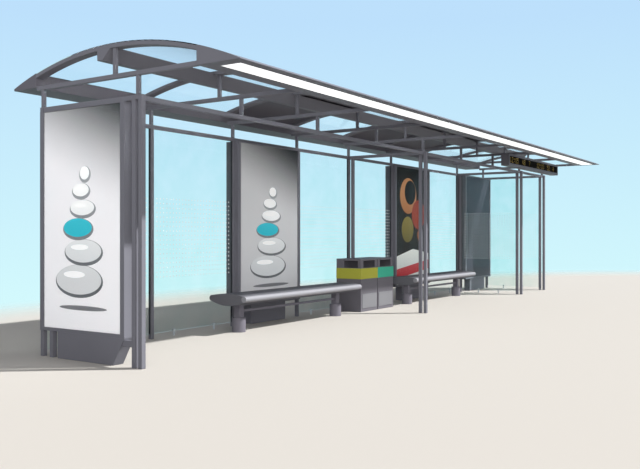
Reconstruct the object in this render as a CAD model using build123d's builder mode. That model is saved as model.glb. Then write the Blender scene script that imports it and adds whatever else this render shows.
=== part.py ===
"""Bus shelter with a bowed roof on bow-string frames, a glazed back wall, light boxes,
two benches, a double litter bin and a hanging departure sign. Millimetres, +Z up.
The origin is on the ground under the middle of the roof. X runs along the shelter,
-Y is the street side and +Y is the back wall."""

import math
import os

from build123d import *

os.makedirs("parts", exist_ok=True)

# Bays and rows

bay = 1500.0
bay_count = 8
end_overhang = 30.0
front_row = -295.0
row_spacing = 1368.0

# Posts and rails

tube_x = 50.0
tube_y = 45.0
rail_width = 40.0
rail_height = 45.0
rail_top = 2530.0
single_post = 45.0
second_tube_step = 85.0
strut_size = 35.0
strut_height = 182.0
front_post_index = (0, 4, 7, 8)
back_twin_index = (4, 7, 8)
cross_rail_index = (0, 4, 7, 8)

# Roof

roof_half_width = 1520.0
bow_rise = 336.0
crown_y = 51.0
front_beam_width = 484.0
back_beam_width = 358.0
front_lip = 6.5
back_lip = 21.5
rib_width = 100.0
rib_depth = 45.0
tie_height = 42.0
tie_width = 40.0
hanger_y = 15.0
ridge_drop = 30.0
ridge_depth = 116.0
ridge_front = -6.0
ridge_top_width = 195.0
ridge_low_width = 72.0
ridge_back_slope = 5.0
sheet_thickness = 8.0
sheet_joint = 4.0
solid_bay_index = (2, 4, 5)

# Light strip under the street edge of the roof

strip_edge = 105.0
strip_width = 220.0
strip_depth = 12.0
strip_end_gap = 140.0

# Wall glass

glass_thickness = 10.0
glass_bottom = 60.0
glass_bay_index = (0, 1, 3, 4, 6)
screen_index = (7, 8)
foot_offset = 380.0
foot_low_radius = 11.0
foot_top_radius = 20.0
foot_lip = 20.0

# Light boxes

box_depth = 210.0
box_bottom = 265.0
box_bay_index = (2, 5, 7)
box_wall_steps = (78.0, 78.0, 188.0)
box_side_border = 55.0
box_bottom_border = 35.0
box_top_border = 10.0
box_end_step = 162.0
box_pocket = 14.0
poster_thickness = 3.0
cover_thickness = 6.0
plinth_thickness = 130.0
plinth_length = 800.0
plinth_slope = 152.0
leg_size = 50.0
leg_step = 148.0
link_height = 60.0
link_drop = 15.0

# Benches

bench_spans = ((-3650.0, -850.0), (1040.0, 3690.0))
bench_front = 321.0
bench_depth = 592.0
nose_radius = 37.0
nose_height = 435.0
seat_rise = 60.0
seat_sag = 89.0
pedestal_inset = 250.0
pedestal_step = 319.0
pedestal_radius = 88.0
pedestal_height = 180.0
neck_size = 90.0
stretcher_size = 30.0
stretcher_height = 262.0

# Litter bin

bin_post_index = 4
bin_left = -420.0
bin_unit = 540.0
bin_depth = 457.0
bin_gap = 5.5
bin_height = 840.0
bin_wall = 20.0
bin_floor = 60.0
bin_lid = 20.0
bin_joint_width = 30.0
slot_width = 380.0
slot_drop = 140.0
slot_height = 110.0
side_slot_width = 260.0
band_drop = 150.0
band_height = 170.0
band_thickness = 6.0
door_bottom = 50.0
door_height = 230.0
door_side_gap = 38.0
door_thickness = 6.0
post_clearance = 2.0

# Departure sign

sign_left = 2610.0
sign_length = 3020.0
sign_depth = 150.0
sign_edge_step = 765.0
sign_height = 216.0
sign_drop = 6.0
sign_frame_index = (6, 7)
sign_border_side = 45.0
sign_border_top = 40.0
sign_border_bottom = 45.0
sign_pocket = 12.0
sign_panel = 8.0
hanger_length = 110.0

# Values worked out from the sizes above

frame_x = [(i - bay_count / 2) * bay for i in range(bay_count + 1)]
shelter_half = bay_count / 2 * bay + end_overhang
shelter_length = 2 * shelter_half
back_row = front_row + row_spacing
rail_bottom = rail_top - rail_height
twin_offset = (rail_width + tube_y) / 2
front_inner_face = front_row + rail_width / 2 + tube_y
back_post_face = back_row - single_post / 2
second_tube_y = back_row - second_tube_step
second_tube_face = second_tube_y - single_post / 2
tie_bottom = rail_top + strut_height
tie_top = tie_bottom + tie_height
crown_height = tie_bottom + bow_rise
bow_reach = roof_half_width + crown_y
bow_height = bow_rise - front_lip
roof_radius = (bow_reach**2 + bow_height**2) / (2 * bow_height)
arch_centre = crown_height - roof_radius
front_inner = front_beam_width - roof_half_width
back_inner = roof_half_width - back_beam_width


def roof_z(y, below=0.0):
    """Height of the bowed roof at y, or of a surface that lies below it."""
    return arch_centre + math.sqrt((roof_radius - below) ** 2 - (y - crown_y) ** 2)


def save(part, name):
    """Label a finished piece and write it to its own file."""
    part.label = name
    export_step(part, f"parts/{name}.step")


def band_lines(y_from, y_to, top, bottom):
    """Outline between two arcs of the roof, for the line that is open."""
    middle = (y_from + y_to) / 2
    ThreePointArc((y_from, roof_z(y_from, top)), (middle, roof_z(middle, top)), (y_to, roof_z(y_to, top)))
    Line((y_to, roof_z(y_to, top)), (y_to, roof_z(y_to, bottom)))
    ThreePointArc(
        (y_to, roof_z(y_to, bottom)), (middle, roof_z(middle, bottom)), (y_from, roof_z(y_from, bottom))
    )
    Line((y_from, roof_z(y_from, bottom)), (y_from, roof_z(y_from, top)))


def ridge_lines():
    """Outline of the ridge beam: steep at the back and sloped on the street side."""
    top = crown_height - ridge_drop
    back = crown_y + ridge_front + ridge_top_width
    low_back = back - ridge_back_slope
    Polyline(
        (back, top),
        (low_back, top - ridge_depth),
        (low_back - ridge_low_width, top - ridge_depth),
        (crown_y + ridge_front, top),
        close=True,
    )


def edge_lines(inner, outer, soffit):
    """Outline of an edge beam: upright inner face, level soffit, bowed top and a thin outer edge."""
    middle = (inner + outer) / 2
    ThreePointArc((inner, roof_z(inner)), (middle, roof_z(middle)), (outer, roof_z(outer)))
    Polyline((outer, roof_z(outer)), (outer, soffit), (inner, soffit), (inner, roof_z(inner)))


# Posts: twin tubes stand one behind the other and grip the rail between them

with BuildPart() as front_posts:
    for frame in front_post_index:
        for shift in (-twin_offset, twin_offset):
            with Locations((frame_x[frame], front_row + shift, 0)):
                Box(tube_x, tube_y, rail_top, align=(Align.CENTER, Align.CENTER, Align.MIN))
save(front_posts.part, "front_posts")

with BuildPart() as back_posts:
    for x in frame_x:
        with Locations((x, back_row, 0)):
            Box(single_post, single_post, rail_bottom, align=(Align.CENTER, Align.CENTER, Align.MIN))
    for frame in back_twin_index:
        with Locations((frame_x[frame], second_tube_y, 0)):
            Box(single_post, single_post, rail_bottom, align=(Align.CENTER, Align.CENTER, Align.MIN))
save(back_posts.part, "back_posts")

# Rails along both rows and across at the braced frames

for name, row in (("front_rail", front_row), ("back_rail", back_row)):
    with BuildPart() as rail:
        with Locations((0, row, rail_bottom)):
            Box(shelter_length, rail_width, rail_height, align=(Align.CENTER, Align.CENTER, Align.MIN))
    save(rail.part, name)

cross_rail_end = back_row - rail_width / 2

with BuildPart() as cross_rails:
    for frame in cross_rail_index:
        with Locations((frame_x[frame], front_inner_face, rail_bottom)):
            Box(
                rail_width,
                cross_rail_end - front_inner_face,
                rail_height,
                align=(Align.CENTER, Align.MIN, Align.MIN),
            )
save(cross_rails.part, "cross_rails")

for name, row in (("front_struts", front_row), ("back_struts", back_row)):
    with BuildPart() as struts:
        for x in frame_x:
            with Locations((x, row, rail_top)):
                Box(
                    strut_size,
                    strut_size,
                    tie_bottom - rail_top,
                    align=(Align.CENTER, Align.CENTER, Align.MIN),
                )
    save(struts.part, name)

# Bow-string frames: a bowed rib that is notched over the ridge beam, a straight tie bar and
# a hanger between them. The ribs of the end frames are flush with the ends of the beams.

rib_reach = shelter_half - rib_width / 2
rib_x = [max(-rib_reach, min(rib_reach, x)) for x in frame_x]
hanger_top = roof_z(hanger_y, (sheet_thickness + rib_depth) / 2)

for number, x in enumerate(frame_x):
    with BuildPart() as roof_frame:
        with BuildSketch(Plane.YZ.offset(rib_x[number] - rib_width / 2)):
            with BuildLine():
                band_lines(front_inner, back_inner, sheet_thickness, rib_depth)
            make_face()
            with BuildLine():
                ridge_lines()
            make_face(mode=Mode.SUBTRACT)
        extrude(amount=rib_width)
        with Locations((x, front_inner, tie_bottom)):
            Box(tie_width, back_inner - front_inner, tie_height, align=(Align.CENTER, Align.MIN, Align.MIN))
        with Locations((x, hanger_y, tie_top)):
            Box(
                strut_size,
                strut_size,
                hanger_top - tie_top,
                align=(Align.CENTER, Align.CENTER, Align.MIN),
            )
    save(roof_frame.part, f"roof_frame_{number + 1}")

# Beams that run the whole length: the ridge and the two tapered edges

with BuildPart() as ridge_beam:
    with BuildSketch(Plane.YZ.offset(-shelter_half)):
        with BuildLine():
            ridge_lines()
        make_face()
    extrude(amount=shelter_length)
save(ridge_beam.part, "ridge_beam")

strip_y = strip_edge - roof_half_width

with BuildPart() as edge_beam_front:
    with BuildSketch(Plane.YZ.offset(-shelter_half)):
        with BuildLine():
            edge_lines(front_inner, -roof_half_width, tie_bottom)
        make_face()
    extrude(amount=shelter_length)
    with Locations((0, strip_y, tie_bottom)):
        Box(
            shelter_length - 2 * strip_end_gap,
            strip_width,
            strip_depth,
            align=(Align.CENTER, Align.MIN, Align.MIN),
            mode=Mode.SUBTRACT,
        )
save(edge_beam_front.part, "edge_beam_front")

with BuildPart() as edge_beam_back:
    with BuildSketch(Plane.YZ.offset(-shelter_half)):
        with BuildLine():
            edge_lines(back_inner, roof_half_width, roof_z(roof_half_width) - back_lip)
        make_face()
    extrude(amount=shelter_length)
save(edge_beam_back.part, "edge_beam_back")

with BuildPart() as light_strip:
    with Locations((0, strip_y, tie_bottom)):
        Box(
            shelter_length - 2 * strip_end_gap,
            strip_width,
            strip_depth,
            align=(Align.CENTER, Align.MIN, Align.MIN),
        )
save(light_strip.part, "light_strip")

# Bowed roof sheets, one to a bay, that lie on the ribs between the edge beams

clear_bay_index = [b for b in range(bay_count) if b not in solid_bay_index]

for name, bays in (("roof_sheets_clear", clear_bay_index), ("roof_sheets_solid", solid_bay_index)):
    with BuildPart() as sheets:
        for b in bays:
            left = -shelter_half if b == 0 else frame_x[b] + sheet_joint / 2
            right = shelter_half if b == bay_count - 1 else frame_x[b + 1] - sheet_joint / 2
            with BuildSketch(Plane.YZ.offset(left)):
                with BuildLine():
                    band_lines(front_inner, back_inner, 0, sheet_thickness)
                make_face()
            extrude(amount=right - left)
    save(sheets.part, name)

# Wall glass between the posts, on small turned feet with a slot for the pane

glass_height = rail_bottom - glass_bottom

with BuildPart() as back_wall_glass:
    for b in glass_bay_index:
        with Locations(((frame_x[b] + frame_x[b + 1]) / 2, back_row, glass_bottom)):
            Box(
                bay - single_post,
                glass_thickness,
                glass_height,
                align=(Align.CENTER, Align.CENTER, Align.MIN),
            )
save(back_wall_glass.part, "back_wall_glass")

for name, frame in zip(("screen_glass", "end_wall_glass"), screen_index):
    with BuildPart() as pane:
        with Locations((frame_x[frame], front_inner_face, glass_bottom)):
            Box(
                glass_thickness,
                second_tube_face - front_inner_face,
                glass_height,
                align=(Align.CENTER, Align.MIN, Align.MIN),
            )
    save(pane.part, name)

wall_feet = [
    (x, back_row, 0.0)
    for b in glass_bay_index
    for x in (frame_x[b] + foot_offset, frame_x[b + 1] - foot_offset)
]
screen_feet = [
    (frame_x[frame], y, 90.0)
    for frame in screen_index
    for y in (front_inner_face + foot_offset, second_tube_face - foot_offset)
]

with BuildPart() as glass_feet:
    for x, y, turn in wall_feet + screen_feet:
        with Locations(Location((x, y, 0), (0, 0, turn))):
            Cone(
                foot_low_radius,
                foot_top_radius,
                glass_bottom + foot_lip,
                align=(Align.CENTER, Align.CENTER, Align.MIN),
            )
        with Locations(Location((x, y, glass_bottom), (0, 0, turn))):
            Box(
                2 * foot_top_radius,
                glass_thickness,
                foot_lip,
                align=(Align.CENTER, Align.CENTER, Align.MIN),
                mode=Mode.SUBTRACT,
            )
save(glass_feet.part, "glass_feet")

# Light boxes with a shallow pocket on both faces, the end one lapped over its back post

pocket_rise = (box_bottom_border - box_top_border) / 2
pocket_trim = box_bottom_border + box_top_border
box_height = rail_bottom - box_bottom
box_middle = box_bottom + box_height / 2
box_end_front = front_row + box_end_step
box_end_back = back_row + single_post / 2
box_end_width = box_end_back - box_end_front
box_end_x = -shelter_half + box_depth / 2
box_end_y = box_end_back - box_end_width / 2
box_wall_width = bay - single_post
box_wall_places = [
    ((frame_x[b] + frame_x[b + 1]) / 2, back_row - step + box_depth / 2)
    for b, step in zip(box_bay_index, box_wall_steps)
]
wall_planes = [
    Plane(origin=(x, y, box_middle), x_dir=(turn, 0, 0), z_dir=(0, -turn, 0))
    for x, y in box_wall_places
    for turn in (1, -1)
]
end_planes = [
    Plane(origin=(box_end_x, box_end_y, box_middle), x_dir=(0, turn, 0), z_dir=(turn, 0, 0))
    for turn in (1, -1)
]

with BuildPart() as light_boxes_wall:
    for x, y in box_wall_places:
        with Locations((x, y, box_middle)):
            Box(box_wall_width, box_depth, box_height)
    for plane in wall_planes:
        with BuildSketch(plane.offset(box_depth / 2)):
            with Locations((0, pocket_rise)):
                Rectangle(box_wall_width - 2 * box_side_border, box_height - pocket_trim)
        extrude(amount=-box_pocket, mode=Mode.SUBTRACT)
save(light_boxes_wall.part, "light_boxes_wall")

with BuildPart() as light_box_end:
    with Locations((box_end_x, box_end_y, box_middle)):
        Box(box_depth, box_end_width, box_height)
    with Locations((frame_x[0] - single_post / 2, back_post_face, box_bottom)):
        Box(box_depth, single_post, box_height, align=(Align.MIN, Align.MIN, Align.MIN), mode=Mode.SUBTRACT)
    for plane in end_planes:
        with BuildSketch(plane.offset(box_depth / 2)):
            with Locations((0, pocket_rise)):
                Rectangle(box_end_width - 2 * box_side_border, box_height - pocket_trim)
        extrude(amount=-box_pocket, mode=Mode.SUBTRACT)
save(light_box_end.part, "light_box_end")

for name, planes, width in (
    ("posters_wall", wall_planes, box_wall_width),
    ("posters_end", end_planes, box_end_width),
):
    with BuildPart() as posters:
        for plane in planes:
            with BuildSketch(plane.offset(box_depth / 2 - box_pocket)):
                with Locations((0, pocket_rise)):
                    Rectangle(width - 2 * box_side_border, box_height - pocket_trim)
            extrude(amount=poster_thickness)
    save(posters.part, name)

with BuildPart() as light_box_covers:
    for planes, width in ((wall_planes, box_wall_width), (end_planes, box_end_width)):
        for plane in planes:
            with BuildSketch(plane.offset(box_depth / 2 - box_pocket + poster_thickness)):
                with Locations((0, pocket_rise)):
                    Rectangle(width - 2 * box_side_border, box_height - pocket_trim)
            extrude(amount=cover_thickness)
save(light_box_covers.part, "light_box_covers")

with BuildPart() as plinths_wall:
    for x, y in box_wall_places:
        with Locations((x, y, 0)):
            Box(plinth_length, plinth_thickness, box_bottom, align=(Align.CENTER, Align.CENTER, Align.MIN))
save(plinths_wall.part, "plinths_wall")

plinth_toe = box_end_front + plinth_slope
plinth_back = plinth_toe + plinth_length

with BuildPart() as plinth_end:
    with BuildSketch(Plane.YZ.offset(-shelter_half)):
        with BuildLine():
            Polyline(
                (plinth_back, 0),
                (plinth_back, box_bottom),
                (box_end_front, box_bottom),
                (plinth_toe, 0),
                close=True,
            )
        make_face()
    extrude(amount=plinth_thickness)
save(plinth_end.part, "plinth_end")

link_top = box_bottom - link_drop
link_bottom = link_top - link_height
link_end_top = plinth_toe - plinth_slope * link_top / box_bottom
link_end_bottom = plinth_toe - plinth_slope * link_bottom / box_bottom

with BuildPart() as light_box_supports:
    with Locations((frame_x[0], back_row - leg_step, 0)):
        Box(leg_size, leg_size, box_bottom, align=(Align.CENTER, Align.CENTER, Align.MIN))
    with BuildSketch(Plane.YZ.offset(frame_x[0] - rail_width / 2)):
        with BuildLine():
            Polyline(
                (front_inner_face, link_bottom),
                (front_inner_face, link_top),
                (link_end_top, link_top),
                (link_end_bottom, link_bottom),
                close=True,
            )
        make_face()
    extrude(amount=rail_width)
save(light_box_supports.part, "light_box_supports")

# Benches: a lens-shaped seat with a round steel nose, on two pedestals

seat_crown = nose_height + seat_rise
seat_belly = nose_height - seat_sag
pedestal_y = bench_front + pedestal_step
bench_middle = bench_front + bench_depth / 2
nose_y = bench_front + nose_radius
tail_y = bench_front + bench_depth - nose_radius

with BuildPart() as bench_seats:
    for left, right in bench_spans:
        with BuildSketch(Plane.YZ.offset(left)):
            with BuildLine():
                ThreePointArc(
                    (nose_y, nose_height + nose_radius),
                    (bench_middle, seat_crown),
                    (tail_y, nose_height + nose_radius),
                )
                ThreePointArc(
                    (tail_y, nose_height + nose_radius),
                    (tail_y + nose_radius, nose_height),
                    (tail_y, nose_height - nose_radius),
                )
                ThreePointArc(
                    (tail_y, nose_height - nose_radius),
                    (bench_middle, seat_belly),
                    (nose_y, nose_height - nose_radius),
                )
                Line((nose_y, nose_height - nose_radius), (nose_y, nose_height + nose_radius))
            make_face()
            with Locations((nose_y, nose_height)):
                Circle(nose_radius, mode=Mode.SUBTRACT)
        extrude(amount=right - left)
save(bench_seats.part, "bench_seats")

with BuildPart() as bench_noses:
    for left, right in bench_spans:
        with BuildSketch(Plane.YZ.offset(left)):
            with Locations((nose_y, nose_height)):
                Circle(nose_radius)
        extrude(amount=right - left)
save(bench_noses.part, "bench_noses")

with BuildPart() as bench_pedestals:
    for left, right in bench_spans:
        for x in (left + pedestal_inset, right - pedestal_inset):
            with Locations((x, pedestal_y, 0)):
                Cylinder(pedestal_radius, pedestal_height, align=(Align.CENTER, Align.CENTER, Align.MIN))
            with BuildSketch(Plane.YZ.offset(x - neck_size / 2)):
                with Locations((pedestal_y, pedestal_height)):
                    Rectangle(neck_size, seat_crown - pedestal_height, align=(Align.CENTER, Align.MIN))
                with BuildLine():
                    ThreePointArc(
                        (tail_y, nose_height - nose_radius),
                        (bench_middle, seat_belly),
                        (nose_y, nose_height - nose_radius),
                    )
                    Polyline(
                        (nose_y, nose_height - nose_radius),
                        (nose_y, seat_crown),
                        (tail_y, seat_crown),
                        (tail_y, nose_height - nose_radius),
                    )
                make_face(mode=Mode.SUBTRACT)
            extrude(amount=neck_size)
save(bench_pedestals.part, "bench_pedestals")

with BuildPart() as bench_stretchers:
    for left, right in bench_spans:
        with Locations(((left + right) / 2, pedestal_y, stretcher_height)):
            Box(right - left - 2 * pedestal_inset - neck_size, stretcher_size, stretcher_size)
save(bench_stretchers.part, "bench_stretchers")

# Double litter bin against the middle post of the back wall, with an open joint between its units

bin_back = back_post_face - bin_gap
bin_front = bin_back - bin_depth
band_bottom = bin_height - band_drop - band_height
slot_bottom = bin_height - slot_drop
bin_units = (bin_left + bin_unit / 2, bin_left + bin_unit * 3 / 2)
bin_divider = bin_left + bin_unit
bin_right = bin_left + 2 * bin_unit
notch_front = second_tube_face - post_clearance
cavity_backs = (notch_front - bin_wall, bin_back - bin_wall)
cavity_front = bin_front + bin_wall

with BuildPart() as litter_bin_cabinet:
    with Locations((bin_left, bin_front, 0)):
        Box(2 * bin_unit, bin_back - bin_front, bin_height, align=(Align.MIN, Align.MIN, Align.MIN))
    with Locations((frame_x[bin_post_index], notch_front, 0)):
        Box(
            single_post + 2 * post_clearance,
            bin_back - notch_front,
            bin_height,
            align=(Align.CENTER, Align.MIN, Align.MIN),
            mode=Mode.SUBTRACT,
        )
    for x, back in zip(bin_units, cavity_backs):
        with Locations((x, cavity_front, bin_floor)):
            Box(
                bin_unit - 2 * bin_wall,
                back - cavity_front,
                bin_height - bin_floor - bin_lid,
                align=(Align.CENTER, Align.MIN, Align.MIN),
                mode=Mode.SUBTRACT,
            )
        with Locations((x, bin_front, slot_bottom)):
            Box(
                slot_width,
                bin_wall,
                slot_height,
                align=(Align.CENTER, Align.MIN, Align.MIN),
                mode=Mode.SUBTRACT,
            )
    with Locations((bin_left, (cavity_front + cavity_backs[0]) / 2, slot_bottom)):
        Box(
            bin_wall,
            side_slot_width,
            slot_height,
            align=(Align.MIN, Align.CENTER, Align.MIN),
            mode=Mode.SUBTRACT,
        )
    with Locations((bin_units[1], bin_back, slot_bottom)):
        Box(
            slot_width,
            bin_wall,
            slot_height,
            align=(Align.CENTER, Align.MAX, Align.MIN),
            mode=Mode.SUBTRACT,
        )
    with Locations((bin_divider, bin_front, 0)):
        Box(
            bin_joint_width,
            bin_wall,
            bin_height - bin_lid,
            align=(Align.CENTER, Align.MIN, Align.MIN),
            mode=Mode.SUBTRACT,
        )
save(litter_bin_cabinet.part, "litter_bin_cabinet")

for name, wall_x, side in (
    ("litter_bin_band_left", bin_left, -1),
    ("litter_bin_band_right", bin_right, 1),
):
    outer = wall_x + side * band_thickness
    with BuildPart() as band:
        with BuildSketch(Plane.XY.offset(band_bottom)):
            with BuildLine():
                Polyline(
                    (bin_divider, bin_front),
                    (bin_divider, bin_front - band_thickness),
                    (outer, bin_front - band_thickness),
                    (outer, bin_back),
                    (wall_x, bin_back),
                    (wall_x, bin_front),
                    close=True,
                )
            make_face()
        extrude(amount=band_height)
    save(band.part, name)

with BuildPart() as litter_bin_doors:
    for x in bin_units:
        with Locations((x, bin_front, door_bottom)):
            Box(
                bin_unit - 2 * door_side_gap,
                door_thickness,
                door_height,
                align=(Align.CENTER, Align.MAX, Align.MIN),
            )
save(litter_bin_doors.part, "litter_bin_doors")

# Departure sign, hung from two tie bars under the street side of the roof

sign_x = sign_left + sign_length / 2
sign_front = sign_edge_step - roof_half_width
sign_top = tie_bottom - sign_drop
sign_bottom = sign_top - sign_height
window_height = sign_height - sign_border_top - sign_border_bottom

with BuildPart() as sign_case:
    with Locations((sign_x, sign_front, sign_bottom)):
        Box(sign_length, sign_depth, sign_height, align=(Align.CENTER, Align.MIN, Align.MIN))
    with Locations((sign_x, sign_front, sign_bottom + sign_border_bottom)):
        Box(
            sign_length - 2 * sign_border_side,
            sign_pocket,
            window_height,
            align=(Align.CENTER, Align.MIN, Align.MIN),
            mode=Mode.SUBTRACT,
        )
save(sign_case.part, "sign_case")

with BuildPart() as sign_display:
    with Locations((sign_x, sign_front + sign_pocket, sign_bottom + sign_border_bottom)):
        Box(
            sign_length - 2 * sign_border_side,
            sign_panel,
            window_height,
            align=(Align.CENTER, Align.MAX, Align.MIN),
        )
save(sign_display.part, "sign_display")

with BuildPart() as sign_hangers:
    for frame in sign_frame_index:
        with Locations((frame_x[frame], sign_front + sign_depth / 2, sign_top)):
            Box(
                tie_width,
                hanger_length,
                sign_drop,
                align=(Align.CENTER, Align.CENTER, Align.MIN),
            )
save(sign_hangers.part, "sign_hangers")
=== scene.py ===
"""Bus shelter: its finishes, small fittings, floor, light and camera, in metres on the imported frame."""

import math

import bmesh
import bpy
from mathutils import Matrix, Vector


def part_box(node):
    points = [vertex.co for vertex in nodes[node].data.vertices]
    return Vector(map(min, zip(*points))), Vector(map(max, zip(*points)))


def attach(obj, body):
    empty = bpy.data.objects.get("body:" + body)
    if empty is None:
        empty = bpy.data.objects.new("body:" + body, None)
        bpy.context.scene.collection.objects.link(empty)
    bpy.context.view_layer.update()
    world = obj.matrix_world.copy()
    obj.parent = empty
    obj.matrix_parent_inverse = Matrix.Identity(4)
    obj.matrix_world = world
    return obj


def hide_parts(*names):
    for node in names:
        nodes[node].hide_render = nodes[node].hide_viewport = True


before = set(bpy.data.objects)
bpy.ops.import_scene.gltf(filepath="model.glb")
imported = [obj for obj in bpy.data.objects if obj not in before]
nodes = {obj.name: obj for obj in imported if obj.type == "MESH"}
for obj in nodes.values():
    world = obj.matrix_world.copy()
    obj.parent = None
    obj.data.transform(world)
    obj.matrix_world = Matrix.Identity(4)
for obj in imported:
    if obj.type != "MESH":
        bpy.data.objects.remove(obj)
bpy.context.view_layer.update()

# Posts, rails, ties and struts.
# Square steel tube, welded up in the works, zinc coated and then powder coated in a violet grey.
# The front posts are twin tubes that hold the rail between them, and they stand straight on the ground.


def linear(code):
    """An sRGB hex colour as linear red, green, blue and alpha."""
    parts = [int(code[i : i + 2], 16) / 255 for i in (1, 3, 5)]
    return [c / 12.92 if c <= 0.04045 else ((c + 0.055) / 1.055) ** 2.4 for c in parts] + [1.0]


def add(mat, kind, inputs, **settings):
    """Add a node to a material. An input that is a socket is linked, and any other is set."""
    made = mat.node_tree.nodes.new(kind)
    for name, value in settings.items():
        setattr(made, name, value)
    for name, value in inputs.items():
        if isinstance(value, bpy.types.NodeSocket):
            mat.node_tree.links.new(value, made.inputs[name])
        else:
            made.inputs[name].default_value = value
    return made


def finish(name, **inputs):
    """A new material with its shader, whose inputs are set by name with _ for a space."""
    mat = bpy.data.materials.new(name)
    mat.use_nodes = True
    shader = mat.node_tree.nodes["Principled BSDF"]
    for key, value in inputs.items():
        shader.inputs[key.replace("_", " ")].default_value = value
    return mat, shader


def feed(mat, shader, **sockets):
    """Link sockets to the shader's inputs by name with _ for a space."""
    for key, value in sockets.items():
        mat.node_tree.links.new(value, shader.inputs[key.replace("_", " ")])


def dress(mat, *names):
    """Give carried-over nodes a material."""
    for name in names:
        if not nodes[name].material_slots:
            nodes[name].data.materials.append(mat)
        for place in nodes[name].material_slots:
            place.material = mat


def powder_coat(name, low, high, roughness, gloss=0.06):
    """Powder coat on steel: an even satin with a faint orange peel, cloudy by a few percent. Its edges are
    paler, partly from wear and partly as a painted highlight.

    Its fine texture scatters most reflections, so gloss leaves only a share of them.
    """
    cloud_mm = 600
    # Real orange peel is about 2 mm across, drawn here at 12 mm so that it shows.
    peel_mm = 12
    peel_depth = 0.0006
    edge_radius = 0.007
    flat_face, full_edge, edge_wear_and_highlight = 0.98, 0.8, 0.25
    mat, shader = finish(name, Roughness=roughness, Specular_IOR_Level=gloss)
    place = add(mat, "ShaderNodeTexCoord", {}).outputs["Object"]
    cloud = add(mat, "ShaderNodeTexNoise", {"Vector": place, "Scale": 1000 / cloud_mm, "Detail": 6.0})
    colour = add(
        mat,
        "ShaderNodeMix",
        {0: cloud.outputs["Fac"], 6: linear(low), 7: linear(high)},
        data_type="RGBA",
    )
    soft = add(mat, "ShaderNodeBevel", {"Radius": edge_radius}, samples=6)
    edge = add(
        mat,
        "ShaderNodeVectorMath",
        {0: soft.outputs["Normal"], 1: add(mat, "ShaderNodeNewGeometry", {}).outputs["Normal"]},
        operation="DOT_PRODUCT",
    )
    # Edges blend towards a pale grey: rubbed wear, and a painted highlight in place of the gleam on rounded
    # edges.
    wear_and_highlight_mask = add(
        mat,
        "ShaderNodeMapRange",
        {"Value": edge.outputs["Value"], "From Min": flat_face, "From Max": full_edge, "To Max": edge_wear_and_highlight},
    )
    wear_and_painted_highlight = add(
        mat,
        "ShaderNodeMix",
        {0: wear_and_highlight_mask.outputs["Result"], 6: colour.outputs[2], 7: linear("#A9A8AE")},
        data_type="RGBA",
    )
    peel = add(mat, "ShaderNodeTexNoise", {"Vector": place, "Scale": 1000 / peel_mm, "Detail": 2.0})
    bump = add(
        mat,
        "ShaderNodeBump",
        {
            "Height": peel.outputs["Fac"],
            "Distance": peel_depth,
            "Strength": 0.25,
            "Normal": soft.outputs["Normal"],
        },
    )
    feed(mat, shader, Base_Color=wear_and_painted_highlight.outputs[2], Normal=bump.outputs["Normal"])
    return mat


# The frame's coat reads as one calm mid grey with a touch of violet.
frame_coat = powder_coat("powder_coat_violet_grey", "#83838B", "#8D8D96", 0.5, gloss=0.1)
dress(frame_coat, "front_posts", "back_posts", "front_rail", "back_rail", "cross_rails")
dress(frame_coat, "front_struts", "back_struts")
dress(frame_coat, *(f"roof_frame_{number}" for number in range(1, 10)))

# Bolts of the struts.
# Zinc plated hexagon heads on round washers, two on the front and two on the back of each strut.
# They hold its foot to the rail and its head to the tie bar.

# Nine frames stand one bay apart along x.
bay = 1.5
bay_count = 8
frame_x = [(i - bay_count / 2) * bay for i in range(bay_count + 1)]
bolt_across = 0.017
bolt_height = 0.007
bolt_taper = 0.94
washer_radius = bolt_across * 0.75
washer_height = 0.002
bolt_inset = 0.022


def solid(name, shape, *materials):
    """Turn a bmesh into a piece that rides on the shelter."""
    mesh = bpy.data.meshes.new(name)
    shape.to_mesh(mesh)
    shape.free()
    for mat in materials:
        mesh.materials.append(mat)
    made = bpy.data.objects.new(name, mesh)
    bpy.context.scene.collection.objects.link(made)
    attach(made, "root")
    return made


def bolt_head(shape, place, direction):
    """A hexagon head on its washer at place, pointing along direction, with slightly tapered sides."""
    turn = Vector((0, 0, 1)).rotation_difference(Vector(direction)).to_matrix().to_4x4()
    washer = (20, washer_radius, 0.0, washer_height)
    head = (6, bolt_across / 2, washer_height, bolt_height)
    for sides, radius, low, high in (washer, head):
        bmesh.ops.create_cone(
            shape,
            cap_ends=True,
            segments=sides,
            radius1=radius,
            radius2=radius * bolt_taper,
            depth=high - low,
            matrix=Matrix.Translation(Vector(place)) @ turn @ Matrix.Translation((0, 0, (low + high) / 2)),
        )


def zinc_plate(name):
    """Bright zinc on small steel parts: a metal with a cool, slightly cloudy gleam."""
    cloud_mm = 10
    mat, shader = finish(name, Metallic=1.0, Roughness=0.35)
    place = add(mat, "ShaderNodeTexCoord", {}).outputs["Object"]
    cloud = add(mat, "ShaderNodeTexNoise", {"Vector": place, "Scale": 1000 / cloud_mm, "Detail": 3.0})
    colour = add(
        mat,
        "ShaderNodeMix",
        {0: cloud.outputs["Fac"], 6: linear("#8E9094"), 7: linear("#B4B6BA")},
        data_type="RGBA",
    )
    feed(mat, shader, Base_Color=colour.outputs[2])
    return mat


zinc = zinc_plate("zinc_plated_steel")
bolts = bmesh.new()
for row in ("front_struts", "back_struts"):
    low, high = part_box(row)
    for x in frame_x:
        for z in (low.z + bolt_inset, high.z - bolt_inset):
            for y, face in ((low.y, -1), (high.y, 1)):
                bolt_head(bolts, (x, y, z), (0, face, 0))
strut_bolts = solid("strut_bolts", bolts, zinc)

# Ridge beam and front edge beam.
# Long folded sheet steel cases in the same powder coat as the frame, tapered at the eaves.

dress(frame_coat, "ridge_beam", "edge_beam_front")

# Roof sheets and back edge beam.
# Five bays are bent clear polycarbonate and three are bent steel sheet, coated darker than the frame.
# The folded steel beam at the back edge is given the darker coat of the steel sheets as painted shade.


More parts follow.
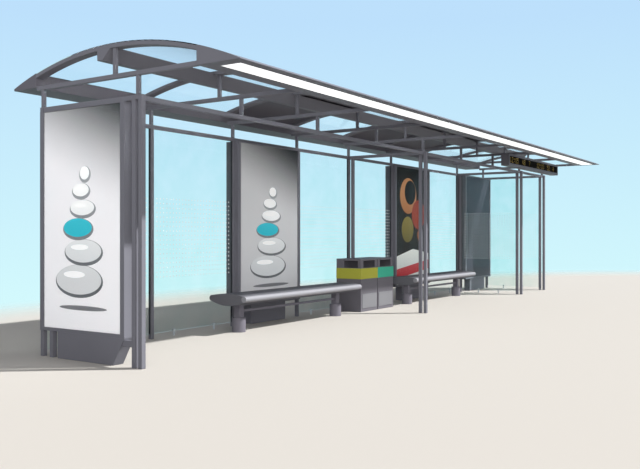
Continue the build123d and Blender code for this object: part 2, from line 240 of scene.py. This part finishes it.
def clear_sheet(name, tint, roughness, ior, shade):
    """Clear sheet: colourless but for its tint, with a faint uneven film. Its shadow has the strength shade.

    It is seen against an even sky and hardly reflects, so its index is drawn close to that of air.
    """
    film_mm = 300
    mat, shader = finish(name, Roughness=roughness, IOR=ior, Transmission_Weight=1.0)
    place = add(mat, "ShaderNodeTexCoord", {}).outputs["Object"]
    film = add(mat, "ShaderNodeTexNoise", {"Vector": place, "Scale": 1000 / film_mm, "Detail": 4.0})
    colour = add(
        mat,
        "ShaderNodeMix",
        {0: film.outputs["Fac"], 6: linear(tint), 7: linear("#FFFFFF")},
        data_type="RGBA",
    )
    path = add(mat, "ShaderNodeLightPath", {})
    cover = add(
        mat,
        "ShaderNodeMath",
        {0: path.outputs["Is Shadow Ray"], 1: shade - 1.0, 2: 1.0},
        operation="MULTIPLY_ADD",
    )
    feed(mat, shader, Base_Color=colour.outputs[2], Alpha=cover.outputs["Value"])
    return mat


# The polycarbonate is almost invisible from below, but it keeps most of the sun off what stands under it.
polycarbonate = clear_sheet("polycarbonate_clear", "#F4FBFC", 0.02, 1.05, 0.9)
dress(polycarbonate, "roof_sheets_clear")
# The darker coat sets the closed bays apart from the ribs that carry them. On the back edge beam it is
# painted shade.
sheet_coat_and_painted_shade = powder_coat("powder_coat_dark_grey_and_painted_shade", "#74727A", "#7E7C84", 0.5)
dress(sheet_coat_and_painted_shade, "roof_sheets_solid", "edge_beam_back")

# Light strip.
# An opal acrylic diffuser over a row of lamps, let into the street soffit and lit.
# It gives an even white glow that is a trace brighter over each lamp.

# A wave texture at scale 1 repeats every tau / 20 metres. The spacing in mm makes the scale a third.
lamp_spacing_mm = 942.4778
opal, shader = finish("opal_acrylic_lit", Roughness=0.4, Emission_Strength=1.0)
place = add(opal, "ShaderNodeTexCoord", {}).outputs["Object"]
lamp_row = add(
    opal,
    "ShaderNodeTexWave",
    {"Vector": place, "Scale": math.tau / 20 * 1000 / lamp_spacing_mm, "Distortion": 0.0},
    bands_direction="X",
)
glow = add(
    opal,
    "ShaderNodeMix",
    {0: lamp_row.outputs["Fac"], 6: linear("#F4F6F4"), 7: linear("#FFFFFF")},
    data_type="RGBA",
)
feed(opal, shader, Base_Color=glow.outputs[2], Emission_Color=glow.outputs[2])
dress(opal, "light_strip")

# Wall glass.
# Toughened float glass, 10 mm thick with a faint green cast, printed with a band of white enamel dots.
# Each pane stands in its feet, between the posts and under the rail.

# The glass cools what is seen through it a little, and it keeps four fifths of the direct sun off the ground.
toughened = clear_sheet("toughened_glass", "#E2F6F4", 0.0, 1.08, 0.8)
dress(toughened, "back_wall_glass", "screen_glass", "end_wall_glass")

glazed_bays = (0, 1, 3, 4, 6)
post_half = 0.0225
dot_pitch = 0.055
dot_radius = 0.0105
dot_rows = 18
dot_low = 0.728
dot_sides = 10
print_height = 0.0004
# The grain of such a print is about 0.1 mm, drawn here at 4 mm so that it shows.
grain_mm = 4
# Thin white enamel lets some daylight through. That light is painted on as a faint glow, so a dot stays pale
# against the sky and against a dark case.
enamel, shader = finish("white_enamel_dots_painted_glow", Roughness=0.5, Alpha=0.65, Emission_Strength=0.4)
place = add(enamel, "ShaderNodeTexCoord", {}).outputs["Object"]
grain = add(enamel, "ShaderNodeTexNoise", {"Vector": place, "Scale": 1000 / grain_mm})
chalk_and_painted_glow = add(
    enamel,
    "ShaderNodeMix",
    {0: grain.outputs["Fac"], 6: linear("#DDE7E8"), 7: linear("#F4F8F8")},
    data_type="RGBA",
)
feed(enamel, shader, Base_Color=chalk_and_painted_glow.outputs[2], Emission_Color=chalk_and_painted_glow.outputs[2])


def dots(shape, start, along, out, length):
    """Rows of flat round dots on a pane that runs from start along a direction, printed on the out face."""
    count = int((length - dot_pitch) / dot_pitch)
    first = (length - (count - 1) * dot_pitch) / 2
    for row in range(dot_rows):
        for column in range(count):
            middle = start + along * (first + column * dot_pitch) + Vector((0, 0, dot_low + row * dot_pitch))
            ring = []
            for step in range(dot_sides):
                angle = step * math.tau / dot_sides
                reach = along * math.cos(angle) + Vector((0, 0, math.sin(angle)))
                ring.append(shape.verts.new(middle + out * print_height + reach * dot_radius))
            shape.faces.new(ring)


wall_low, wall_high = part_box("back_wall_glass")
shape = bmesh.new()
for b in glazed_bays:
    start = Vector((frame_x[b] + post_half, wall_low.y, 0))
    dots(shape, start, Vector((1, 0, 0)), Vector((0, -1, 0)), bay - 2 * post_half)
printed = solid("back_wall_dots", shape, enamel)
for name, pane in (("screen_dots", "screen_glass"), ("end_wall_dots", "end_wall_glass")):
    low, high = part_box(pane)
    shape = bmesh.new()
    dots(shape, Vector((low.x, low.y, 0)), Vector((0, 1, 0)), Vector((-1, 0, 0)), high.y - low.y)
    printed = solid(name, shape, enamel)

# Glazing gaskets.
# Dark grey rubber strips pressed on both faces of each pane along its upright edges, against the posts.

gasket_width = 0.008
gasket_thickness = 0.005
bloom_mm = 20
# Weathered rubber is dull, with a faint uneven bloom.
rubber, shader = finish("dark_grey_glazing_rubber", Roughness=0.75)
place = add(rubber, "ShaderNodeTexCoord", {}).outputs["Object"]
bloom = add(rubber, "ShaderNodeTexNoise", {"Vector": place, "Scale": 1000 / bloom_mm, "Detail": 4.0})
grey = add(
    rubber,
    "ShaderNodeMix",
    {0: bloom.outputs["Fac"], 6: linear("#3E4246"), 7: linear("#4A4E52")},
    data_type="RGBA",
)
feed(rubber, shader, Base_Color=grey.outputs[2])


def bar(shape, one, other, edge=0.001):
    """A straight bar with softened edges between two opposite corners."""
    low = Vector([min(pair) for pair in zip(one, other)])
    high = Vector([max(pair) for pair in zip(one, other)])
    size = high - low
    made = bmesh.ops.create_cube(
        shape, size=1.0, matrix=Matrix.Translation((low + high) / 2) @ Matrix.Diagonal((*size, 1.0))
    )["verts"]
    edges = list({e for v in made for e in v.link_edges})
    bmesh.ops.bevel(shape, geom=edges, offset=edge, segments=2, affect="EDGES")


shape = bmesh.new()
for b in glazed_bays:
    for x, side in ((frame_x[b] + post_half, 1), (frame_x[b + 1] - post_half, -1)):
        for y, out in ((wall_low.y, -1), (wall_high.y, 1)):
            tip = (x + side * gasket_width, y + out * gasket_thickness, wall_high.z)
            bar(shape, (x, y, wall_low.z), tip)
for pane in ("screen_glass", "end_wall_glass"):
    low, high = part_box(pane)
    for y, side in ((low.y, 1), (high.y, -1)):
        for x, out in ((low.x, -1), (high.x, 1)):
            tip = (x + out * gasket_thickness, y + side * gasket_width, high.z)
            bar(shape, (x, y, low.z), tip)
solid("glazing_gaskets", shape, rubber)

# Glass feet.
# Small turned cones of stainless steel, each with a slot in its top that the lower edge of a pane stands in.


def brushed_steel(name, low, high, roughness, grind, metallic=1.0):
    """Stainless steel with a fine grind, which draws the gleam out into a band.

    The grind gives a streak's size along x, y and z in mm. A real one is about 0.2 mm wide, drawn here at
    4 mm so that it shows.
    """
    mat, shader = finish(name, Metallic=metallic, Roughness=roughness)
    place = add(mat, "ShaderNodeTexCoord", {}).outputs["Object"]
    scale = [1000 / streak for streak in grind]
    stretch = add(mat, "ShaderNodeMapping", {"Vector": place, "Scale": scale})
    streak = add(
        mat, "ShaderNodeTexNoise", {"Vector": stretch.outputs["Vector"], "Scale": 1.0, "Detail": 5.0}
    )
    colour = add(
        mat,
        "ShaderNodeMix",
        {0: streak.outputs["Fac"], 6: linear(low), 7: linear(high)},
        data_type="RGBA",
    )
    bump = add(
        mat, "ShaderNodeBump", {"Height": streak.outputs["Fac"], "Distance": 0.0004, "Strength": 0.2}
    )
    feed(mat, shader, Base_Color=colour.outputs[2], Normal=bump.outputs["Normal"])
    return mat


# The feet have upright streaks and catch the light as small pale points.
foot_steel = brushed_steel("stainless_steel_feet", "#C4C6C9", "#DCDEE0", 0.5, (4, 4, 50))
dress(foot_steel, "glass_feet")

# Light boxes.
# Aluminium cases in the frame's powder coat, with a poster and a glass cover on both faces.

dress(frame_coat, "light_boxes_wall", "light_box_end")
# The cover glass is nearly colourless and hardly reflects, so the print behind it stays clear to read.
cover_glass = clear_sheet("cover_glass", "#FAFEFE", 0.02, 1.05, 0.05)
dress(cover_glass, "light_box_covers")

# Posters.
# Inkjet prints on matt translucent film, hung in front of the lamps and held flat by the cover glass.
# The end case and the first wall case hold a pale print, the next a warm dark one, the last a bare film.

rail_underside = 2.485
box_bottom = 0.265
box_depth = 0.210
bottom_border, top_border, side_border = 0.035, 0.010, 0.055
box_pocket = 0.014
cad_film = 0.003
# The inks lie in front of the film, and a hair apart so that each covers the last.
film_thickness = 0.0018
first_ink = 0.0019
ink_step = 0.00006


def print_ink(name, low, high, start, stop, lean=(0.0, 0.0, 1.0)):
    """Ink on matt film, lit from behind: a soft gradient with the fine grain of the print.

    It runs along lean, between the distances start and stop in metres.
    """
    # Print grain is about 0.1 mm, drawn here at 6 mm so that it shows.
    grain_mm = 6
    grain_strength = 0.06
    mat, shader = finish(name, Roughness=0.55, Specular_IOR_Level=0.25, Emission_Strength=0.2)
    place = add(mat, "ShaderNodeTexCoord", {}).outputs["Object"]
    reach = add(mat, "ShaderNodeVectorMath", {0: place, 1: lean}, operation="DOT_PRODUCT")
    ramp = add(
        mat,
        "ShaderNodeMapRange",
        {"Value": reach.outputs["Value"], "From Min": start, "From Max": stop},
        interpolation_type="SMOOTHSTEP",
    )
    grain = add(mat, "ShaderNodeTexNoise", {"Vector": place, "Scale": 1000 / grain_mm, "Detail": 1.0})
    shift = add(
        mat,
        "ShaderNodeMath",
        {0: grain.outputs["Fac"], 1: grain_strength, 2: ramp.outputs["Result"]},
        operation="MULTIPLY_ADD",
    )
    colour = add(
        mat,
        "ShaderNodeMix",
        {0: shift.outputs["Value"], 6: linear(low), 7: linear(high)},
        data_type="RGBA",
    )
    feed(mat, shader, Base_Color=colour.outputs[2], Emission_Color=colour.outputs[2])
    return mat


# Each print shades from its first colour to its second, so that it looks lit and not flat.
inks = {
    "paper_end": print_ink(
        "print_pale_silver", "#EBE9ED", "#202322", 1.4, 2.67, lean=(0.0, -0.44, 1.0)
    ),
    "paper_pale": print_ink(
        "print_grey_silver", "#C8C7CA", "#2A2C2E", 0.66, 1.88, lean=(0.42, 0.0, 1.0)
    ),
    "silver": print_ink("print_silver", "#C9CACD", "#F7F7F8", 0.7, 2.0),
    "steel": print_ink("print_steel_grey", "#5C5E62", "#9A9CA0", 0.7, 2.0),
    "white": print_ink("print_white", "#F2F2F4", "#FFFFFF", 0.7, 2.0),
    "teal": print_ink("print_teal", "#1FA9BC", "#4CC6D4", 1.0, 1.9),
    "shade": print_ink("print_soft_shade", "#55555A", "#8E8E92", 0.3, 0.8),
    "paper_dark": print_ink("print_dark_brown", "#170E07", "#0D0704", 0.6, 2.2),
    "orange": print_ink("print_orange", "#8A5230", "#C08A5E", 1.2, 2.3),
    "brick": print_ink("print_brick_red", "#6A2418", "#8C3826", 0.8, 1.8),
    "olive": print_ink("print_olive_gold", "#544B24", "#84783E", 0.8, 1.8),
    "block": print_ink("print_block_white", "#C4C8C6", "#DDE0DC", 0.3, 1.0),
    "red": print_ink("print_red", "#A8343A", "#C2474B", 0.3, 0.9),
    "paper_grey": print_ink("bare_grey_film", "#33323C", "#3D3C46", 0.4, 2.4),
}


def disc(x, y, across, high):
    """An ellipse."""
    sides = 40
    angles = [math.tau * t / sides for t in range(sides)]
    return [Vector((x + across / 2 * math.cos(t), y + high / 2 * math.sin(t))) for t in angles]


def pale_print(w, h):
    """A leaning stack of smooth stones over a soft shade, one of them teal.

    Each row gives a stone's place and size as shares of the print's width and height, and its ink.
    """
    art = [("shade", disc(w * 0.52, h * 0.1, w * 0.62, h * 0.022))]
    for x, y, across, high, ink in (
        (0.47, 0.22, 0.62, 0.15, "silver"),
        (0.53, 0.35, 0.5, 0.12, "silver"),
        (0.46, 0.455, 0.4, 0.1, "teal"),
        (0.52, 0.545, 0.34, 0.085, "silver"),
        (0.5, 0.625, 0.24, 0.075, "silver"),
        (0.55, 0.7, 0.15, 0.075, "silver"),
    ):
        art.append(("steel", disc(w * x, h * y, w * across, h * high)))
        face = disc(w * (x - 0.006), h * (y + 0.007), w * (across - 0.03), h * (high - 0.016))
        art.append((ink, face))
        if ink == "silver":
            gleam_x, gleam_y = w * (x - across * 0.1), h * (y + high * 0.2)
            art.append(("white", disc(gleam_x, gleam_y, w * across * 0.45, h * high * 0.2)))
    return art


def warm_print(w, h):
    """Discs in warm colours over a pale block with a red band, in shares of the print's width and height."""
    return [
        ("orange", disc(w * 0.36, h * 0.76, w * 0.5, w * 0.5)),
        ("paper_dark", disc(w * 0.42, h * 0.79, w * 0.34, w * 0.34)),
        ("brick", disc(w * 0.68, h * 0.6, w * 0.42, w * 0.42)),
        ("olive", disc(w * 0.34, h * 0.47, w * 0.36, w * 0.36)),
        ("orange", disc(w * 0.72, h * 0.42, w * 0.16, w * 0.16)),
        ("block", [Vector(p) for p in ((0, 0), (w, 0), (w, h * 0.26), (w * 0.5, h * 0.3), (0, h * 0.24))]),
        ("red", [Vector(p) for p in ((0, h * 0.05), (w, h * 0.12), (w, h * 0.2), (0, h * 0.13))]),
    ]


def poster(shape, corner, out, width, height, paper, art):
    """A film that faces out, with its inks laid on in turn, each just in front of the last."""
    order = list(inks)
    up = Vector((0, 0, 1))
    along = up.cross(out)

    def ring(points, depth):
        return [shape.verts.new(corner + along * p.x + up * p.y + out * depth) for p in points]

    outline = [Vector((0, 0)), Vector((width, 0)), Vector((width, height)), Vector((0, height))]
    back, front = ring(outline, 0.0), ring(outline, film_thickness)
    faces = [shape.faces.new(front), shape.faces.new(reversed(back))]
    for i in range(len(outline)):
        j = (i + 1) % len(outline)
        faces.append(shape.faces.new((back[i], back[j], front[j], front[i])))
    for face in faces:
        face.material_index = order.index(paper)
    for number, (ink, points) in enumerate(art):
        layer = shape.faces.new(ring(points, first_ink + ink_step * number))
        layer.material_index = order.index(ink)


poster_low = box_bottom + bottom_border
poster_height = rail_underside - top_border - poster_low
wall_width = bay - 2 * post_half - 2 * side_border
shape = bmesh.new()
# Each row gives a case's bay, the y of its street face, its paper and its design.
for b, front, paper, design in (
    (2, 0.995, "paper_pale", pale_print),
    (5, 0.995, "paper_dark", warm_print),
    (7, 0.885, "paper_grey", None),
):
    middle = (frame_x[b] + frame_x[b + 1]) / 2
    art = design(wall_width, poster_height) if design else []
    for y, side in ((front + box_pocket, -1), (front + box_depth - box_pocket, 1)):
        corner = Vector((middle + side * wall_width / 2, y, poster_low))
        poster(shape, corner, Vector((0, side, 0)), wall_width, poster_height, paper, art)
posters_in_wall = solid("posters_in_wall", shape, *inks.values())
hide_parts("posters_wall")

end_low, end_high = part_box("posters_end")
end_width = end_high.y - end_low.y
shape = bmesh.new()
art = pale_print(end_width, poster_height)
for x, side in ((end_low.x + cad_film, -1), (end_high.x - cad_film, 1)):
    corner = Vector((x, end_low.y if side > 0 else end_high.y, poster_low))
    poster(shape, corner, Vector((side, 0, 0)), end_width, poster_height, "paper_end", art)
posters_at_end = solid("posters_at_end", shape, *inks.values())
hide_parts("posters_end")

# Plinths, leg and link of the light boxes.
# Folded steel plinths in the frame's powder coat, and a tube leg and link at the end box.

dress(frame_coat, "plinths_wall", "plinth_end", "light_box_supports")

# Benches.
# Folded steel seats of lens section in a satin powder coat, with a blasted stainless tube along the front.
# Each stands on two round steel pedestals that a square tube joins under the seat.

# The seats are dull and dark, so that the pale tube draws one bright line along them.
seat_coat = powder_coat("powder_coat_seat_grey", "#76767C", "#808086", 0.6, gloss=0.02)
dress(seat_coat, "bench_seats")
# A dull blasted surface scatters nearly all of the light, so most of it is drawn as a matt pale grey.
# Its streaks run along the tube, three to every 250 mm.
nose_steel = brushed_steel(
    "blasted_stainless_tube", "#9C9BA0", "#ACABB0", 0.6, (250 / 3, 4, 4), metallic=0.12
)
dress(nose_steel, "bench_noses")
# The pedestals are a trace warmer than the frame, with a slightly tighter gleam.
pedestal_coat = powder_coat("powder_coat_pedestal_grey", "#85828B", "#8F8C96", 0.4)
dress(pedestal_coat, "bench_pedestals", "bench_stretchers")

# Litter bin.
# A folded steel cabinet of two units, with a coloured band under the openings and a door on each front.
# All of it is powder coated steel.

# The cabinet is a plain grey and its doors are a shade paler. The two bands tell its units apart.
bin_coat = powder_coat("powder_coat_bin_grey", "#7A777E", "#848188", 0.5)
dress(bin_coat, "litter_bin_cabinet")
door_coat = powder_coat("powder_coat_door_grey", "#8C8C90", "#969699", 0.5)
dress(door_coat, "litter_bin_doors")
olive_coat = powder_coat("powder_coat_olive", "#C6C64E", "#D0D05A", 0.5)
dress(olive_coat, "litter_bin_band_left")
green_coat = powder_coat("powder_coat_green", "#4CCBA8", "#58D5B2", 0.5)
dress(green_coat, "litter_bin_band_right")

# Departure sign.
# A folded aluminium case with a black glass display of amber dots, hung from two tie bars.

# The sign's coat is darker than the frame, so that the case reads as one dark bar with its display.
sign_coat = powder_coat("powder_coat_sign_grey", "#6C6B72", "#76757C", 0.5, gloss=0.1)
dress(sign_coat, "sign_case")
dress(frame_coat, "sign_hangers")

cell_mm = 13
# The glass has a matt coating against glare, and the cells behind it show as a faint grid.
display, shader = finish("black_display_glass", Roughness=0.6, Specular_IOR_Level=0.0)
place = add(display, "ShaderNodeTexCoord", {}).outputs["Object"]
cells = add(
    display, "ShaderNodeTexVoronoi", {"Vector": place, "Scale": 1000 / cell_mm, "Randomness": 0.0}
)
panel = add(
    display,
    "ShaderNodeMix",
    {0: cells.outputs["Distance"], 6: linear("#1E1E1C"), 7: linear("#0C0C0E")},
    data_type="RGBA",
)
feed(display, shader, Base_Color=panel.outputs[2])
dress(display, "sign_display")

digit_rows = {
    "0": ("01110", "10001", "10001", "10001", "10001", "10001", "01110"),
    "1": ("00100", "01100", "00100", "00100", "00100", "00100", "01110"),
    "2": ("01110", "10001", "00001", "00110", "01000", "10000", "11111"),
    "4": ("00010", "00110", "01010", "10010", "11111", "00010", "00010"),
    "5": ("11111", "10000", "11110", "00001", "00001", "10001", "01110"),
    "7": ("11111", "00001", "00010", "00100", "00100", "01000", "01000"),
    "8": ("01110", "10001", "10001", "01110", "10001", "10001", "01110"),
    ":": ("00000", "00100", "00100", "00000", "00100", "00100", "00000"),
    " ": ("00000",) * 7,
}
display_text = "12:05  48  7    12:10  52  4 "
rows_in_window = 9
# The step from digit to digit, the margins and half a dot are in steps of the dots' pitch.
digit_step = 6.6
left_margin, top_margin = 2, 1.5
dot_half = 0.32
# A dot stands between these distances in front of the glass.
dot_back, dot_front = 0.0002, 0.0012
dot_edge = 0.0003
flicker_mm = 30
# The dots glow a dull amber that is a little uneven from one to the next.
amber, shader = finish("amber_display_dots", Roughness=0.4, Emission_Strength=0.35)
place = add(amber, "ShaderNodeTexCoord", {}).outputs["Object"]
flicker = add(amber, "ShaderNodeTexNoise", {"Vector": place, "Scale": 1000 / flicker_mm})
lit = add(
    amber,
    "ShaderNodeMix",
    {0: flicker.outputs["Fac"], 6: linear("#8F7426"), 7: linear("#C9AE52")},
    data_type="RGBA",
)
feed(amber, shader, Base_Color=lit.outputs[2], Emission_Color=lit.outputs[2])

low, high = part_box("sign_display")
pitch = (high.z - low.z) / rows_in_window
half = pitch * dot_half
shape = bmesh.new()
for number, digit in enumerate(display_text):
    for row, line in enumerate(digit_rows[digit]):
        for column, on in enumerate(line):
            if on == "1":
                x = low.x + pitch * (left_margin + number * digit_step + column)
                z = high.z - pitch * (top_margin + row)
                corner = (x - half, low.y - dot_front, z - half)
                bar(shape, corner, (x + half, low.y - dot_back, z + half), edge=dot_edge)
display_dots = solid("display_dots", shape, amber)

# Floor, light and camera.
# A pale floor that fades into the background. A small sharp sun and a broad soft one both come from the
# street side, from the right and from the left, and the sky fills the shadows.

floor_radius = 18.0
floor_drop = 0.001
oval_stretch, oval_shift = (0.52, 1, 1), (0, 2.5, 0)
fade_start, fade_end = 6.6, 9.6

floor_mesh = bpy.data.meshes.new("floor")
shape = bmesh.new()
bmesh.ops.create_circle(shape, cap_ends=True, segments=96, radius=floor_radius)
shape.to_mesh(floor_mesh)
shape.free()
floor = bpy.data.objects.new("floor", floor_mesh)
bpy.context.scene.collection.objects.link(floor)
floor.location.z = -floor_drop
ground, shader = finish("pale_floor", Roughness=0.9)
place = add(ground, "ShaderNodeTexCoord", {}).outputs["Object"]
path = add(ground, "ShaderNodeLightPath", {})
# Light that bounces off the floor is held down, so that it doesn't wash out the undersides of the roof.
tone = add(
    ground,
    "ShaderNodeMix",
    {0: path.outputs["Is Diffuse Ray"], 6: linear("#DDD7CE"), 7: linear("#8C8A88")},
    data_type="RGBA",
)
feed(ground, shader, Base_Color=tone.outputs[2])
oval = add(
    ground,
    "ShaderNodeVectorMath",
    {0: place, 1: oval_stretch, 2: oval_shift},
    operation="MULTIPLY_ADD",
)
away = add(ground, "ShaderNodeVectorMath", {0: oval.outputs["Vector"]}, operation="LENGTH")
fade = add(
    ground,
    "ShaderNodeMapRange",
    {"Value": away.outputs["Value"], "From Min": fade_start, "From Max": fade_end},
    interpolation_type="SMOOTHSTEP",
)
clear = add(ground, "ShaderNodeBsdfTransparent", {})
blend = add(
    ground,
    "ShaderNodeMixShader",
    {0: fade.outputs["Result"], 1: shader.outputs["BSDF"], 2: clear.outputs["BSDF"]},
)
surface = ground.node_tree.nodes["Material Output"].inputs["Surface"]
ground.node_tree.links.new(blend.outputs["Shader"], surface)
floor_mesh.materials.append(ground)

# Camera, glossy and transmission rays see the sky's colours. A ray that has left a matt surface gets an
# even grey, which is the fill light.
world = bpy.data.worlds.new("studio")
bpy.context.scene.world = world
world.use_nodes = True
background = world.node_tree.nodes["Background"]
haze_foot, haze_head = -0.08, 0.26
sky = add(world, "ShaderNodeTexCoord", {})
split = add(world, "ShaderNodeSeparateXYZ", {"Vector": sky.outputs["Generated"]})
climb = add(
    world,
    "ShaderNodeMapRange",
    {"Value": split.outputs["Z"], "From Min": haze_foot, "From Max": haze_head},
)
haze = add(
    world,
    "ShaderNodeMix",
    {0: climb.outputs["Result"], 6: linear("#D3F9FD"), 7: linear("#BDE0FC")},
    data_type="RGBA",
)
path = add(world, "ShaderNodeLightPath", {})
direct = add(
    world,
    "ShaderNodeMath",
    {0: path.outputs["Is Camera Ray"], 1: path.outputs["Is Glossy Ray"]},
    operation="MAXIMUM",
)
through = add(
    world,
    "ShaderNodeMath",
    {0: direct.outputs["Value"], 1: path.outputs["Is Transmission Ray"]},
    operation="MAXIMUM",
)
lighting = add(world, "ShaderNodeMath", {0: path.outputs["Diffuse Depth"], 1: 0.5}, operation="GREATER_THAN")
seen = add(
    world,
    "ShaderNodeMath",
    {0: through.outputs["Value"], 1: lighting.outputs["Value"]},
    operation="SUBTRACT",
)
fill = add(
    world,
    "ShaderNodeMix",
    {0: seen.outputs["Value"], 6: linear("#858385"), 7: haze.outputs[2]},
    data_type="RGBA",
)
world.node_tree.links.new(fill.outputs[2], background.inputs["Color"])
background.inputs["Strength"].default_value = 1.0


def sun(name, energy, spread, travel):
    """A sun lamp with its spread in degrees, whose light travels along a direction."""
    lamp = bpy.data.lights.new(name, "SUN")
    lamp.energy = energy
    lamp.angle = math.radians(spread)
    made = bpy.data.objects.new(name, lamp)
    bpy.context.scene.collection.objects.link(made)
    made.rotation_euler = Vector(travel).to_track_quat("-Z", "Y").to_euler()


sun("key", 3.9, 1.5, (-0.8, 1.0, -1.14))
sun("side", 1.6, 60, (0.78, 0.72, -0.1))

# The photo's viewpoint, as fitted to the shelter's straight edges.
lens = bpy.data.cameras.new("camera")
lens.lens = 43.77
lens.sensor_width = 36.0
lens.shift_y = -0.0017
camera = bpy.data.objects.new("camera", lens)
bpy.context.scene.collection.objects.link(camera)
camera.location = (-11.095, -5.650, 1.248)
camera.rotation_euler = (math.radians(90), 0, math.radians(-56.69))
bpy.context.scene.camera = camera
bpy.context.scene.view_settings.view_transform = "Standard"
